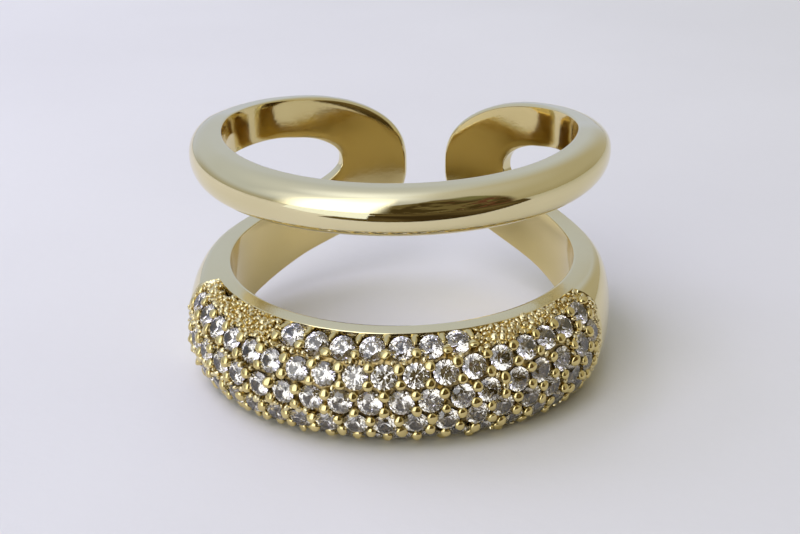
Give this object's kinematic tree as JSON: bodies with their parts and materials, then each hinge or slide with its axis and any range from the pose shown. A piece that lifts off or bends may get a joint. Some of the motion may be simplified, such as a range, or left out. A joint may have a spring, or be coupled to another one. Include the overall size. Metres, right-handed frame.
{
  "type": "open double-band ring",
  "caption": "Open finger ring with a plain domed band and a wider paved band side by side, joined at the back in two rounded ends with a gap between them.",
  "frame": {"origin": "middle height of the finger hole, on its axis", "axes": "+Z along the finger hole towards the plain band, -Y to the middle of the front, +Y to the gap at the back"},
  "size_m": [0.0212, 0.0209, 0.012],
  "materials": {
    "polished_brass": "mirror-polished pale gold, with fine polishing scratches",
    "clear_stones": "clear brilliant-cut stones held by small polished beads"
  },
  "bodies": {
    "root": {"ring_body": "polished_brass", "pave_stones": "clear_stones"}
  },
  "joints": []
}
